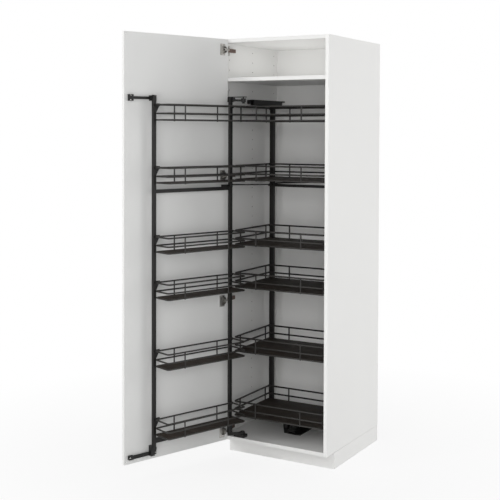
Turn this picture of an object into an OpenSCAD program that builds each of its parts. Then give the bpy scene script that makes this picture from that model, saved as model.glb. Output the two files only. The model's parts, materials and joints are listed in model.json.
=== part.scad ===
// Tall pull-out larder cabinet, door open: X right, Y back, Z up, millimetres.
// Origin: centre of the carcass front plane, on the floor.

/* [Cabinet] */
// Outside width of the carcass
cab_w = 600; // [590:1:640]
// Outside depth of the carcass
cab_d = 600; // [590:1:640]
// Height of the carcass above the plinth
cab_h = 2000; // [1990:1:2060]
// Height of the plinth under the carcass
plinth_h = 80; // [70:1:120]
// Thickness of the carcass boards
board_t = 18; // [17:0.5:18.5]
// Thickness of the back panel
back_t = 8; // [5:0.5:9]
// Distance from the front edge to the back panel
back_inset = 540; // [535:1:545]
// Depth of the grooves that hold the back panel
groove_d = 8; // [5:0.5:10]
// Distance of the top, shelf and bottom boards behind the side panels' front edges
board_inset = 3; // [2.5:0.5:4]
// Height of the fixed shelf above the inside floor
shelf_up = 1773; // [1765:1:1790]
// Gap between pieces that slide or slot into each other
fit_gap = 0.3; // [0.2:0.05:0.4]

/* [Plinth and feet] */
// Thickness of the plinth boards
plinth_t = 16; // [14:0.5:18]
// Distance of the plinth front behind the carcass front
plinth_inset = 80; // [70:1:90]
// Gap between the plinth boards and the carcass
plinth_gap = 1; // [0.5:0.1:2]
// Distance of the legs from the carcass centre line
leg_x = 240; // [235:1:245]
// Distance of the front legs from the carcass front
leg_front_y = 130; // [125:1:140]
// Distance of the rear legs from the carcass front
leg_rear_y = 560; // [550:1:565]
// Radius of the leg columns
leg_r = 17.5; // [15:0.5:20]
// Radius of the foot discs
foot_r = 32; // [28:0.5:34]
// Thickness of the foot discs
foot_t = 10; // [6:0.5:12]

/* [Shelf pin rows and dowels] */
// Diameter of the shelf pin holes
pin_hole_d = 5; // [4:0.1:6]
// Depth of the shelf pin holes
pin_hole_depth = 12; // [9:0.5:13]
// Spacing of the shelf pin holes
pin_pitch = 50; // [45:1:60]
// Diameter of the dowels
dowel_d = 8; // [6:0.5:9]
// Length of the dowels
dowel_l = 30; // [27:1:32]
// How far a dowel enters a side panel
dowel_in = 12; // [10:0.5:13]

/* [Door] */
// Thickness of the door
door_t = 16; // [15.5:0.1:16.5]
// Gap between the door's outline and the carcass outline
door_reveal = 1.5; // [1.5:0.1:2]
// Gap between the closed door and the carcass
door_gap = 2; // [2:0.1:2.5]
// Opening angle of the door
door_open = 110.07; // [109.5:0.01:110.5]
// Thickness of the door buffers
buffer_t = 1.7; // [1:0.1:1.9]

/* [Door hinges] */
// Height of the lowest hinge above the inside floor
hinge_low_up = 27; // [26:1:30]
// Height of the second hinge above the inside floor
hinge_mid_up = 683; // [680:1:690]
// Height of the third hinge above the inside floor
hinge_high_up = 1305; // [1296:1:1312]
// Distance of the top hinge below the top panel
hinge_top_down = 36; // [32:1:50]
// Distance of the hinge arm pivot from the side panel
pivot_a_in = 15.5; // [15.3:0.1:15.7]
// Distance of the hinge arm pivot behind the carcass front
pivot_a_y = 6; // [5.8:0.1:6.2]
// Distance of the cup pivot from the door edge
pivot_b_s = 13.286; // [13.2:0.01:13.4]
// Depth of the cup pivot below the door's inner face
pivot_b_depth = 2.5; // [2.4:0.05:2.6]
// Share of the door angle that the hinge links turn
link_share = 0.644; // [0.643:0.001:0.645]
// Radius of the hinge cups
cup_r = 17.4; // [17:0.1:17.6]
// Depth of the hinge cups
cup_depth = 12; // [11.8:0.1:12.4]
// Distance of the cup centre from the door edge
cup_s = 22.5; // [22:0.1:23]

/* [Swinging door rack] */
// Distance of the post centres from the door when open
post_n = 33; // [32.8:0.1:33.2]
// Distance of the post centres from the door when closed
post_n_closed = 30; // [29.8:0.1:30.2]
// Distance of the hinge post from the door edge when open
post_s = 8.5; // [8.3:0.1:8.7]
// Distance of the hinge post from the door edge when closed
post_s_closed = 50; // [49.5:0.1:50.5]
// Distance of the swing arm pivot from the middle of the post path
arm_offset = 60; // [59:0.5:61]
// Distance between the two posts
post_span = 447.5; // [445:0.5:450]
// Side of the square posts
post_w = 16; // [14:0.5:16]
// Height of the hinge post foot above the inside floor
post_foot_up = 30; // [29:0.5:31]
// Height of the hinge post head above the inside floor
post_head_up = 1692; // [1688:0.5:1694]
// Height of the lower crossbar above the inside floor
bar_low_up = 67; // [65:1:70]
// Height of the middle crossbar above the inside floor
bar_mid_up = 1236; // [1234:1:1240]

/* [Door baskets] */
// Heights of the basket rims above the inside floor
door_basket_up = [1646, 1355, 1034, 821, 500, 179];
// Length of a door basket between its rim wire centres
door_basket_w = 449.5; // [445:0.5:452]
// Depth of a door basket between its rim wire centres
door_basket_d = 102.7; // [95:0.5:103]
// Diameter of the door basket wires
door_wire_d = 7.5; // [6:0.5:8]

/* [Inner rack] */
// Heights of the basket rims above the inside floor
inner_basket_up = [1648, 1353, 1028, 813, 489, 164];
// Width of an inner basket between its rim wire centres
inner_basket_w = 497; // [490:1:499]
// Depth of an inner basket between its rim wire centres
inner_basket_d = 348; // [340:1:349]
// Diameter of the inner basket wires
inner_wire_d = 8.5; // [7:0.5:9]
// Distance of the inner posts behind the carcass front
inner_post_y = 407.3; // [407:0.1:408]
// Width of the inner posts
inner_post_w = 24; // [20:0.5:24]
// Depth of the inner posts
inner_post_d = 20; // [18:0.5:20]
// Distance of the outer post faces from the carcass centre line
inner_post_x = 251; // [250:0.1:251.5]
// Height of the second rail below a basket rim
mid_drop = 40; // [34:1:44]
// Height of the tray top below a basket rim
tray_drop = 66; // [62:1:70]
// Thickness of the basket trays
tray_t = 8; // [5:0.5:9]
// Radius of the front corners of the baskets
corner_r = 20; // [15:1:26]
// Radius of the rear corners of the baskets
rear_corner_r = 8; // [7:0.5:10]

/* [Guides and coupling rod] */
// Height of the upper guide rails above the inside floor
guide_up = 1660; // [1659:0.5:1664]
// Front end of the upper guide rails
guide_y0 = 205; // [195:1:215]
// Rear end of the upper guide rails
guide_y1 = 505; // [502:1:510]
// Half the width of the floor rail
floor_rail_half = 20; // [16:0.5:22]
// Length of the coupling rod
rod_l = 447.14; // [446.9:0.02:447.4]
// Direction of the coupling rod
rod_dir = -85.728; // [-85.78:0.01:-85.68]
// Diameter of the coupling rod
rod_d = 6; // [5:0.5:6]

/* [Hidden] */
$fn = 48;
eps = 1;
run_gap = 0.05;
wire_facets = 24;
bend_swell = 0.1;
bend_in = 0.5;
upright_in = 2;
x_in = cab_w / 2 - board_t;
floor_z = plinth_h + board_t;
top_z = plinth_h + cab_h;
ceil_z = top_z - board_t;
shelf_z = floor_z + shelf_up;
door_w = cab_w - 2 * door_reveal;
door_h = cab_h - 2 * door_reveal;
door_z = plinth_h + door_reveal;
board_y = [60, 300, 500];
pin_cols = [53, 280, 505];
pin_z0 = floor_z + 32;
dowel_fit = 0.1;
wall_hole_r = 4;
bracket_t = 3;
// Door hinge geometry
hinge_zs = [floor_z + hinge_low_up, floor_z + hinge_mid_up, floor_z + hinge_high_up,
            ceil_z - hinge_top_down];
q_closed = [-cab_w / 2 + door_reveal, -door_gap];
pivot_a = [-x_in + pivot_a_in, pivot_a_y];
pivot_b_closed = q_closed + [pivot_b_s, -pivot_b_depth];
function spin(v, a) = [v.x * cos(a) - v.y * sin(a), v.x * sin(a) + v.y * cos(a)];
pivot_b = pivot_a + spin(pivot_b_closed - pivot_a, link_share * door_open);
q_open = pivot_b + spin(q_closed - pivot_b_closed, -door_open);
function from_door(s, n) = q_open + spin([s, n], -door_open);
// Swing arm geometry
f_closed = q_closed + [post_s_closed, post_n_closed];
f_open = from_door(post_s, post_n);
f_step = f_open - f_closed;
f_turn = [-f_step.y, f_step.x] / norm(f_step);
f_pivot = (f_closed + f_open) / 2 + f_turn * arm_offset;
arm_l = norm(f_open - f_pivot);
arm_dir = atan2(f_open.y - f_pivot.y, f_open.x - f_pivot.x);
// Hinge link and arm layers
link_half = 4;
link_w = 4.8;
knee_swell = 0.15;
eye_half = 6.5;
cheek_in = 6.9;
cheek_out = 9.1;
eye_a_r = 4;
pin_a_r = 2;
eye_b_r = 2.8;
pin_b_r = 1.5;
tab_in = 4.3;
tab_out = 6.5;
flange_t = 1.2;
hinge_screw_r = 2;
cup_wall = 1;
screw_z = 18;
screw_y = 40;
cup_screw_s = 34;
cup_screw_z = 23;
// Rack parts
arm_t = 10;
arm_w = 16;
arm_z = floor_z + 15;
top_arm_z = floor_z + post_head_up - 19;
arm_pin_r = 4;
hub_r = 10;
block_w = 20;
head_block_w = 23;
head_knob = [17, 3];
bearing_h = 14;
foot_block_h = 35;
foot_z = floor_z + post_foot_up;
head_z = floor_z + post_head_up;
post_z0 = foot_z + foot_block_h;
post_z1 = head_z - 24;
outer_post_z0 = foot_z + 19;
outer_post_z1 = head_z - 3;
post_out_s = post_s + post_span;
crossbar_n = 12;
low_bar_h = 22;
mid_bar_h = 17;
slot_gap = 0.6;
bearing_pin_r = 6;
// Door rails
rail_half = 6.25;
low_rail_half = 8.5;
low_fit_half = 9.5;
top_fit_half = 15;
low_screw_in = 4.5;
rail_n0 = 9;
rail_n1 = 14;
top_rail_z = floor_z + 1677.75;
low_rail_z = floor_z + 16;
rail_start_s = post_out_s - 25;
rail_end_s = door_w - board_t - 1.5;
rail_fit_w = 22;
rail_fit_n = 16;
slider_s0 = post_out_s - 10;
slider_s1 = post_out_s + 10;
slide_in = 3;
slide_out = 0.95;
slider_n0 = 4.5;
// Baskets
door_basket_n = post_n + post_w / 2 + fit_gap + door_wire_d / 2;
door_basket_s = post_s - 4.5;
inner_basket_y = inner_post_y - fit_gap - inner_wire_d / 2 - inner_basket_d;
clip_h0 = 7;
clip_h1 = 4.3;
clip_half = 11;
clip_n = 7.5;
post_top = floor_z + 1658;
post_bottom = floor_z + 14;
low_beam_z = floor_z + 20;
low_beam_h = 24;
rear_bar_z = floor_z + 1232.5;
rear_bar_h = 14.5;
top_beam_z = floor_z + 1646;
top_beam_h = 12;
brace_rise = 22;
beam_y = inner_post_y + 2.7;
beam_d = 14;
// Guides
glide_x = inner_post_x - 11;
glide_r = 7;
glide_y = [362, 390];
head_plate_z = floor_z + 1653;
head_plate_t = 4;
channel_wall = 2.7;
guide_h = 28;
tail_len = 31;
floor_plate_t = 4;
floor_rail_h = 10;
rail_y0 = 200;
rail_y1 = 535;
carriage_y0 = 300;
cheek_w = 9.5;
// Coupling rod
rod_rear = [-242, inner_post_y - 7.3];
rod_rear_z = floor_z + 1243;
rod_front_z = floor_z + 1263;
rod_pin_r = 3;
rod_eye_r = 7.4;
rod_eye_wall = 3;
rod_eye_t = 6;
rod_pin_s = post_s + 13.777;
rod_pin_n = post_n + 22.197;
rod_front = rod_rear + rod_l * [cos(rod_dir), sin(rod_dir)];

board_c = [0.90, 0.90, 0.89];
edge_c = [0.94, 0.94, 0.93];
steel_c = [0.62, 0.62, 0.63];
dark_c = [0.17, 0.17, 0.18];
tray_c = [0.20, 0.18, 0.17];
black_c = [0.08, 0.08, 0.08];
wood_c = [0.75, 0.60, 0.40];

module box(lo, hi) {
  translate(lo) cube(hi - lo);
}

module rod_x(x0, x1, y, z, r) {
  translate([x0, y, z]) rotate([0, 90, 0]) cylinder(h = x1 - x0, r = r);
}

module rod_y(y0, y1, x, z, r) {
  translate([x, y0, z]) rotate([-90, 0, 0]) cylinder(h = y1 - y0, r = r);
}

module pillar(p, z0, z1, r) {
  translate([p.x, p.y, z0]) cylinder(h = z1 - z0, r = r);
}

module both_sides() {
  children();
  mirror([1, 0, 0]) children();
}

module in_door() {
  translate([q_open.x, q_open.y, 0]) rotate([0, 0, -door_open]) children();
}

module at_hinges() {
  for (z = hinge_zs) translate([0, 0, z]) children();
}

// ---- Carcass ----

module dowels(r, side_l, board_l) {
  for (z = [plinth_h + board_t / 2, shelf_z + board_t / 2, top_z - board_t / 2], y = board_y)
    rod_x(x_in - board_l, x_in + side_l, y, z, r);
}

module dowel_holes() {
  dowels(dowel_d / 2 + dowel_fit, dowel_in + fit_gap, dowel_l - dowel_in + fit_gap);
}

module pin_holes() {
  rows = floor((ceil_z - 30 - pin_z0) / pin_pitch);
  for (y = pin_cols, i = [0 : rows]) {
    z = pin_z0 + i * pin_pitch;
    if (z < shelf_z - pin_hole_d || z > shelf_z + board_t + pin_hole_d)
      rod_x(x_in - eps, x_in + pin_hole_depth, y, z, pin_hole_d / 2);
  }
}

module back_groove() {
  box([-x_in - groove_d - fit_gap, back_inset - fit_gap, floor_z - groove_d - fit_gap],
      [x_in + groove_d + fit_gap, back_inset + back_t + fit_gap, ceil_z + groove_d + fit_gap]);
}

module side_board() {
  difference() {
    box([x_in, 0, plinth_h], [cab_w / 2, cab_d, top_z]);
    back_groove();
    dowel_holes();
    pin_holes();
  }
}

module side_panel_left() {
  color(board_c) difference() {
    mirror([1, 0, 0]) side_board();
    hinge_screws(hinge_screw_r + run_gap, -x_in - 12, -x_in + eps);
  }
}

module side_panel_right() {
  color(board_c) side_board();
}

module top_panel() {
  color(board_c) difference() {
    box([-x_in, board_inset, ceil_z], [x_in, cab_d, top_z]);
    back_groove();
    both_sides() dowel_holes();
  }
}

module bottom_panel() {
  color(board_c) difference() {
    box([-x_in, board_inset, plinth_h], [x_in, cab_d, floor_z]);
    back_groove();
    both_sides() dowel_holes();
  }
}

module fixed_shelf() {
  color(board_c) difference() {
    box([-x_in, board_inset, shelf_z], [x_in, back_inset - fit_gap, shelf_z + board_t]);
    both_sides() dowel_holes();
  }
}

module back_panel() {
  color(board_c) box([-x_in - groove_d, back_inset, floor_z - groove_d],
                     [x_in + groove_d, back_inset + back_t, ceil_z + groove_d]);
}

module panel_dowels() {
  color(wood_c) both_sides() dowels(dowel_d / 2, dowel_in, dowel_l - dowel_in);
}

module plinth_front() {
  color(board_c) box([-cab_w / 2 + 10, plinth_inset, 0],
                     [cab_w / 2 - plinth_t, plinth_inset + plinth_t, plinth_h - plinth_gap]);
}

module plinth_side() {
  color(board_c) box([cab_w / 2 - plinth_t, plinth_inset, 0],
                     [cab_w / 2, cab_d - 4, plinth_h - plinth_gap]);
}

module at_legs() {
  for (y = [leg_front_y, leg_rear_y], s = [-1, 1]) translate([s * leg_x, y, 0]) children();
}

module cabinet_legs() {
  color(black_c) at_legs() difference() {
    union() {
      translate([0, 0, plinth_h - 4]) cylinder(h = 4, r = leg_r + 12);
      translate([0, 0, foot_t + 12]) cylinder(h = plinth_h - foot_t - 12, r = leg_r);
    }
    cylinder(h = plinth_h - 15, r = 8 + dowel_fit);
  }
}

module leg_feet() {
  color(black_c) at_legs() union() {
    cylinder(h = foot_t, r = foot_r);
    cylinder(h = foot_t + 12 - fit_gap, r = leg_r - 4);
    cylinder(h = plinth_h - 16, r = 8);
  }
}

module plinth_clips() {
  color(black_c) difference() {
    union() {
      for (s = [-1, 1])
        box([s * leg_x - 10, plinth_inset + plinth_t, 36], [s * leg_x + 10, leg_front_y - 8, 52]);
      for (y = [leg_front_y, leg_rear_y])
        box([leg_x + 12, y - 10, 40], [cab_w / 2 - plinth_t, y + 10, 48]);
    }
    at_legs() cylinder(h = plinth_h, r = leg_r + dowel_fit);
  }
}

module wall_brackets() {
  color(steel_c) both_sides() difference() {
    union() {
      box([x_in - bracket_t, cab_d - 46, ceil_z - 54], [x_in, cab_d, ceil_z - 9]);
      box([x_in - 46, cab_d - bracket_t, ceil_z - 54], [x_in, cab_d, ceil_z - 9]);
    }
    rod_y(cab_d - 6, cab_d + eps, x_in - 24, ceil_z - 32, wall_hole_r);
  }
}

// ---- Door hinges ----

module hinge_screws(r, x0, x1) {
  at_hinges() for (s = [-1, 1]) rod_x(x0, x1, screw_y, s * screw_z, r);
}

module hinge_plates() {
  color(steel_c) difference() {
    at_hinges() union() {
      box([-x_in, 20, -cheek_out], [-x_in + 3, 92, cheek_out]);
      box([-x_in, 31, -24], [-x_in + 3, 49, 24]);
    }
    hinge_screws(hinge_screw_r + run_gap, -x_in - eps, -x_in + 4);
  }
}

module hinge_plate_screws() {
  color(steel_c) {
    hinge_screws(hinge_screw_r, -x_in - 11.5, -x_in + 3.5);
    hinge_screws(hinge_screw_r + 2, -x_in + 3, -x_in + 5);
  }
}

module hinge_arms() {
  wall = -x_in + 3;
  face = -x_in + 13;
  color(steel_c) at_hinges() union() {
    box([wall, 24, -cheek_out], [face, 92, cheek_out]);
    for (z0 = [cheek_in, -cheek_out]) translate([0, 0, z0])
      linear_extrude(cheek_out - cheek_in) difference() {
        union() {
          translate(pivot_a) circle(r = eye_a_r);
          polygon([[wall, 26], [wall, 10], [pivot_a.x - 1, pivot_a.y - 3.85],
                   [pivot_a.x + 3.9, pivot_a.y + 0.9], [face, 26]]);
        }
        translate(pivot_a) circle(r = pin_a_r + run_gap);
      }
  }
}

module hinge_arm_pins() {
  color(steel_c) at_hinges() pillar(pivot_a, -cheek_out, cheek_out, pin_a_r);
}

module link_leg(a, b) {
  d = b - a;
  translate(a) rotate([0, 0, atan2(d.y, d.x)]) translate([0, -link_w / 2])
    square([norm(d), link_w]);
}

module hinge_links() {
  b = [pivot_b_s, -pivot_b_depth];
  k1 = [12.98, 3.21];
  k2 = [-2.08, 2.96];
  k3 = [-6.68, 0];
  a = spin(pivot_a - q_open, door_open);
  color(steel_c) at_hinges() in_door() difference() {
    union() {
      translate([0, 0, -link_half]) linear_extrude(2 * link_half) {
        link_leg(b, k1);
        link_leg(k1, k2);
        link_leg(k2, k3);
        link_leg(k3, a);
        for (p = [k1, k2, k3]) translate(p) circle(r = link_w / 2 + knee_swell);
      }
      pillar(b, -link_half, link_half, eye_b_r);
      pillar(a, -eye_half, eye_half, eye_a_r);
    }
    pillar(b, -link_half - eps, link_half + eps, pin_b_r + run_gap);
    pillar(a, -eye_half - eps, eye_half + eps, pin_a_r + run_gap);
  }
}

module along_n(s, z, n0, n1, r) {
  rod_y(n0, n1, s, z, r);
}

module cup_screws(r, n0, n1) {
  for (k = [-1, 1]) along_n(cup_screw_s, k * cup_screw_z, n0, n1, r);
}

module hinge_cups() {
  color(steel_c) at_hinges() in_door() union() {
    difference() {
      union() {
        along_n(cup_s, 0, -cup_depth, 0, cup_r);
        box([18, 0, -28], [48, flange_t, 28]);
        along_n(cup_s, 0, 0, flange_t, cup_r + 1.6);
      }
      along_n(cup_s, 0, -cup_depth + cup_wall, flange_t + eps, cup_r - cup_wall);
      box([-eps, 0, -8], [cup_s - 8, flange_t + eps, 8]);
      cup_screws(hinge_screw_r + run_gap, -eps, flange_t + eps);
    }
    difference() {
      for (z0 = [tab_in, -tab_out]) translate([0, 0, z0]) {
        box([pivot_b_s - eye_b_r, -cup_depth + cup_wall / 2, 0],
            [pivot_b_s + eye_b_r, -pivot_b_depth, tab_out - tab_in]);
        cylinder_at([pivot_b_s, -pivot_b_depth], tab_out - tab_in, eye_b_r);
      }
      pillar([pivot_b_s, -pivot_b_depth], -cup_r, cup_r, pin_b_r + run_gap);
    }
  }
}

module cylinder_at(p, h, r) {
  translate([p.x, p.y, 0]) cylinder(h = h, r = r);
}

module hinge_cup_pins() {
  color(steel_c) at_hinges() in_door()
    pillar([pivot_b_s, -pivot_b_depth], -tab_out, tab_out, pin_b_r);
}

module hinge_cup_screws() {
  color(steel_c) at_hinges() in_door() {
    cup_screws(hinge_screw_r, -10, flange_t + 0.5);
    cup_screws(hinge_screw_r + 2, flange_t, flange_t + 1.8);
  }
}

// ---- Door ----

module rail_screws(r, n0, n1) {
  for (s = [rail_start_s + 7, rail_end_s - 8], k = [-1, 1])
    along_n(s, top_rail_z + k * 11, n0, n1, r);
  for (s = [rail_start_s + low_screw_in, rail_end_s - low_screw_in])
    along_n(s, low_rail_z, n0, n1, r);
}

module door_panel() {
  color(board_c) in_door() difference() {
    box([0, -door_t, door_z], [door_w, 0, door_z + door_h]);
    for (z = hinge_zs) translate([0, 0, z]) {
      along_n(cup_s, 0, -cup_depth - fit_gap, eps, cup_r + dowel_fit);
      cup_screws(hinge_screw_r + run_gap, -11, eps);
    }
    rail_screws(hinge_screw_r + run_gap, -11, eps);
  }
}

module rail_bar(z, half, extra) {
  box([rail_start_s + 9 - extra, rail_n0 - extra, z - half - extra],
      [rail_end_s - 9 + extra, rail_n1 + extra, z + half + extra]);
}

module door_rails() {
  color(dark_c) in_door() {
    rail_bar(top_rail_z, rail_half, 0);
    rail_bar(low_rail_z, low_rail_half, 0);
  }
}

module rail_end_pair(z, half) {
  box([rail_start_s, 0, z - half], [rail_start_s + 14, rail_fit_n, z + half]);
  box([rail_end_s - rail_fit_w, 0, z - half], [rail_end_s, rail_fit_n, z + half]);
}

module door_rail_ends() {
  color(black_c) in_door() difference() {
    union() {
      rail_end_pair(top_rail_z, top_fit_half);
      rail_end_pair(low_rail_z, low_fit_half);
    }
    rail_bar(top_rail_z, rail_half, dowel_fit);
    rail_bar(low_rail_z, low_rail_half, dowel_fit);
    rail_screws(hinge_screw_r + run_gap, -eps, rail_fit_n + eps);
  }
}

module door_rail_screws() {
  color(steel_c) in_door() {
    rail_screws(hinge_screw_r, -10, rail_fit_n + 1);
    rail_screws(hinge_screw_r + 1.2, rail_fit_n, rail_fit_n + 1.6);
  }
}

module door_buffers() {
  color(edge_c) in_door() for (z = [door_z + 12, door_z + door_h - 12])
    along_n(door_w - 9, z, 0, buffer_t, 5);
}

// ---- Swing arms and door rack ----

module floor_bearing() {
  color(dark_c) union() {
    box([f_pivot.x - 42, f_pivot.y - 18, floor_z], [f_pivot.x + 18, f_pivot.y + 18,
                                                    floor_z + bearing_h]);
    pillar(f_pivot, floor_z, arm_z - fit_gap, hub_r + 4);
    pillar(f_pivot, floor_z, arm_z + arm_t + 3, bearing_pin_r);
    pillar(f_pivot, arm_z + arm_t + fit_gap, arm_z + arm_t + 4, hub_r);
  }
}

module top_bearing() {
  plate_z = head_z + 1;
  color(dark_c) union() {
    box([-x_in, f_pivot.y - 12, plate_z], [f_pivot.x + 12, f_pivot.y + 12, plate_z + 4]);
    box([-x_in, f_pivot.y - 12, plate_z], [-x_in + 3, f_pivot.y + 12, plate_z + 36]);
    pillar(f_pivot, top_arm_z - 8, plate_z + 4, arm_pin_r);
    pillar(f_pivot, top_arm_z - 10, top_arm_z - 3 - fit_gap, arm_pin_r + 3);
  }
}

module arm_bar(z) {
  translate([f_pivot.x, f_pivot.y, z]) rotate([0, 0, arm_dir])
    translate([0, -arm_w / 2, 0]) cube([arm_l, arm_w, arm_t]);
}

module swing_arms() {
  color(dark_c) {
    difference() {
      union() {
        arm_bar(arm_z);
        pillar(f_pivot, arm_z, arm_z + arm_t, hub_r + 2);
        pillar(f_open, arm_z, foot_z - fit_gap, hub_r);
        pillar(f_open, arm_z, foot_z + 14, arm_pin_r);
      }
      pillar(f_pivot, arm_z - eps, arm_z + arm_t + eps, bearing_pin_r + run_gap);
    }
    difference() {
      union() {
        arm_bar(top_arm_z);
        pillar(f_pivot, top_arm_z - 3, top_arm_z + arm_t + 5, hub_r + 2);
        in_door() square_post(post_s, post_n, post_z1 + fit_gap, head_z, head_block_w,
                              head_block_w, 2);
        pillar(f_open + head_knob, post_z1 + 3, head_z - 2, 7);
        pillar(f_open, post_z1 - 16, head_z, arm_pin_r);
      }
      pillar(f_pivot, top_arm_z - 4, top_arm_z + arm_t + 6, arm_pin_r + run_gap);
    }
  }
}

module square_post(s, n, z0, z1, w, d, r) {
  translate([s, n, z0]) linear_extrude(z1 - z0) round_rect(w, d, r);
}

module round_rect(w, d, r) {
  union() {
    translate([-w / 2 + r, -d / 2]) square([w - 2 * r, d]);
    translate([-w / 2, -d / 2 + r]) square([w, d - 2 * r]);
    for (x = [-1, 1], y = [-1, 1]) translate([x * (w / 2 - r), y * (d / 2 - r)]) circle(r = r);
  }
}

module door_frame_posts() {
  color(dark_c) in_door() {
    difference() {
      square_post(post_s, post_n, post_z0, post_z1, post_w, post_w, 1.5);
      pillar([post_s, post_n], post_z1 - 17, post_z1 + eps, arm_pin_r + run_gap);
    }
    square_post(post_out_s, post_n, outer_post_z0, outer_post_z1, post_w, post_w, 1.5);
  }
}

module door_frame_foot() {
  color(black_c) in_door() difference() {
    square_post(post_s, post_n, foot_z, post_z0, block_w, block_w, 2);
    pillar([post_s, post_n], foot_z - eps, foot_z + 15, arm_pin_r + run_gap);
  }
}

module door_frame_crossbars() {
  s0 = post_s + post_w / 2;
  s1 = post_out_s - post_w / 2;
  n0 = post_n - crossbar_n / 2;
  color(dark_c) in_door() {
    box([s0, n0, floor_z + bar_low_up], [s1, n0 + crossbar_n, floor_z + bar_low_up + low_bar_h]);
    box([s0, n0, floor_z + bar_mid_up], [s1, n0 + crossbar_n, floor_z + bar_mid_up + mid_bar_h]);
  }
}

module slider_slot(z, half) {
  box([slider_s0 - eps, rail_n0 - slide_out - slot_gap, z - half - fit_gap],
      [slider_s1 + eps, rail_n1 + slide_in + slot_gap, z + half + fit_gap]);
}

module rail_sliders() {
  n1 = post_n - post_w / 2;
  color(black_c) in_door() difference() {
    union() {
      box([slider_s0, slider_n0, top_rail_z - 12], [slider_s1, n1, top_rail_z + 12]);
      box([slider_s0, slider_n0, low_rail_z - 12], [slider_s1, n1, outer_post_z0 + 3]);
      box([slider_s0, slider_n0 + 16, outer_post_z0 - 12],
          [slider_s1, post_n + post_w / 2, outer_post_z0]);
    }
    slider_slot(top_rail_z, rail_half);
    slider_slot(low_rail_z, low_rail_half);
  }
}

// Clip under the rear rim wire; x grows outwards from the corner's arc centre.
module basket_clip(wire_r, arc_r) {
  difference() {
    box([-clip_half, 0, -clip_h0], [clip_half, clip_n, clip_h1]);
    box([-clip_half - eps, fit_gap, -wire_r - dowel_fit], [0, clip_n + eps, clip_h1 + eps]);
    translate([0, fit_gap + wire_r + arc_r, -wire_r - dowel_fit])
      cylinder(h = clip_h0 + clip_h1, r = arc_r + wire_r + dowel_fit);
  }
}

// Triangular hook plate on the outer post's inner side, under each basket rim.
module hook_plate(face) {
  edge = post_out_s - post_w / 2;
  translate([0, face + 0.1, 0]) rotate([90, 0, 0]) linear_extrude(4)
    polygon([[edge, 7], [edge - 19, 7], [edge - 19, 1], [edge, -34]]);
}

module door_basket_clips() {
  face = post_n + post_w / 2;
  arc = rear_corner_r;
  color(black_c) in_door() for (up = door_basket_up) translate([0, face, floor_z + up]) {
    translate([0, -face, 0]) hook_plate(face);
    translate([door_basket_s + door_basket_w - arc, 0, 0]) basket_clip(door_wire_d / 2, arc);
    translate([door_basket_s + arc, 0, 0]) mirror([1, 0, 0]) basket_clip(door_wire_d / 2, arc);
  }
}

module rod_pin_lug() {
  z0 = floor_z + bar_mid_up + mid_bar_h;
  color(dark_c) in_door() union() {
    box([post_s + post_w / 2, post_n - crossbar_n / 2, z0], [rod_pin_s + 9, rod_pin_n + 8, z0 + 4]);
    box([post_s + post_w / 2, post_n - crossbar_n / 2, z0], [post_s + 52, post_n + 10, z0 + 10]);
    pillar([rod_pin_s, rod_pin_n], z0, rod_front_z + 4.5, rod_pin_r);
    pillar([rod_pin_s, rod_pin_n], rod_front_z + 3.5, rod_front_z + 5.5, rod_eye_r + 2);
  }
}

// ---- Baskets ----

// Quarter bend of the rim wire around its corner centre p, from angle a.
module rim_bend(p, r, a, wire_d) {
  translate(p) rotate([0, 0, a]) rotate_extrude(angle = 90)
    translate([r, 0]) circle(d = wire_d + bend_swell);
}

// Closed rim wire with its front side along X at y = 0.
module rim_ring(w, d, rf, rb, wire_d) {
  r = wire_d / 2;
  rod_x(rf - bend_in, w - rf + bend_in, 0, 0, r);
  rod_x(rb - bend_in, w - rb + bend_in, d, 0, r);
  for (x = [0, w]) rod_y(rf - bend_in, d - rb + bend_in, x, 0, r);
  rim_bend([rf, rf], rf, 180, wire_d);
  rim_bend([w - rf, rf], rf, 270, wire_d);
  rim_bend([w - rb, d - rb], rb, 0, wire_d);
  rim_bend([rb, d - rb], rb, 90, wire_d);
}

module tray_plate(w, d, rf, rb, wire_d) {
  e = wire_d / 2;
  translate([0, 0, -tray_drop - tray_t]) linear_extrude(tray_t) union() {
    difference() {
      translate([-e, -e]) square([w + wire_d, d + wire_d]);
      translate([-e, -e]) square([rf + e, rf + e]);
      translate([w - rf, -e]) square([rf + e, rf + e]);
      translate([-e, d - rb]) square([rb + e, rb + e]);
      translate([w - rb, d - rb]) square([rb + e, rb + e]);
    }
    translate([rf, rf]) circle(r = rf + e);
    translate([w - rf, rf]) circle(r = rf + e);
    translate([rb, d - rb]) circle(r = rb + e);
    translate([w - rb, d - rb]) circle(r = rb + e);
  }
}

// Basket with its front wall along X at y = 0 and its rear wall at y = d.
module wire_basket(w, d, wire_d, front_ups, rear_ups, side_ups) {
  $fn = wire_facets;
  color(dark_c) union() {
    for (z = [0, -mid_drop]) translate([0, 0, z]) rim_ring(w, d, corner_r, rear_corner_r, wire_d);
    for (x = front_ups) upright([x, 0], wire_d);
    for (x = rear_ups) upright([x, d], wire_d);
    for (x = [0, w], y = side_ups) upright([x, y], wire_d);
    tray_plate(w, d, corner_r, rear_corner_r, wire_d);
  }
}

module upright(p, wire_d) {
  pillar(p, -tray_drop - upright_in, 0, wire_d / 2 - 0.5);
}

module door_basket(i) {
  w = door_basket_w;
  d = door_basket_d;
  ups = [w * 0.23, w * 0.792];
  in_door() translate([door_basket_s + w, door_basket_n + d, floor_z + door_basket_up[i]])
    rotate([0, 0, 180])
      wire_basket(w, d, door_wire_d, [w - ups[1], w - ups[0]], ups, [d * 0.4]);
}

module inner_basket(i) {
  w = inner_basket_w;
  d = inner_basket_d;
  ups = [w * 0.247, w * 0.754];
  translate([-w / 2, inner_basket_y, floor_z + inner_basket_up[i]])
    wire_basket(w, d, inner_wire_d, ups, ups, [d * 0.157, d * 0.893]);
}

module door_basket_1() {
  door_basket(0);
}

module door_basket_2() {
  door_basket(1);
}

module door_basket_3() {
  door_basket(2);
}

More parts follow.
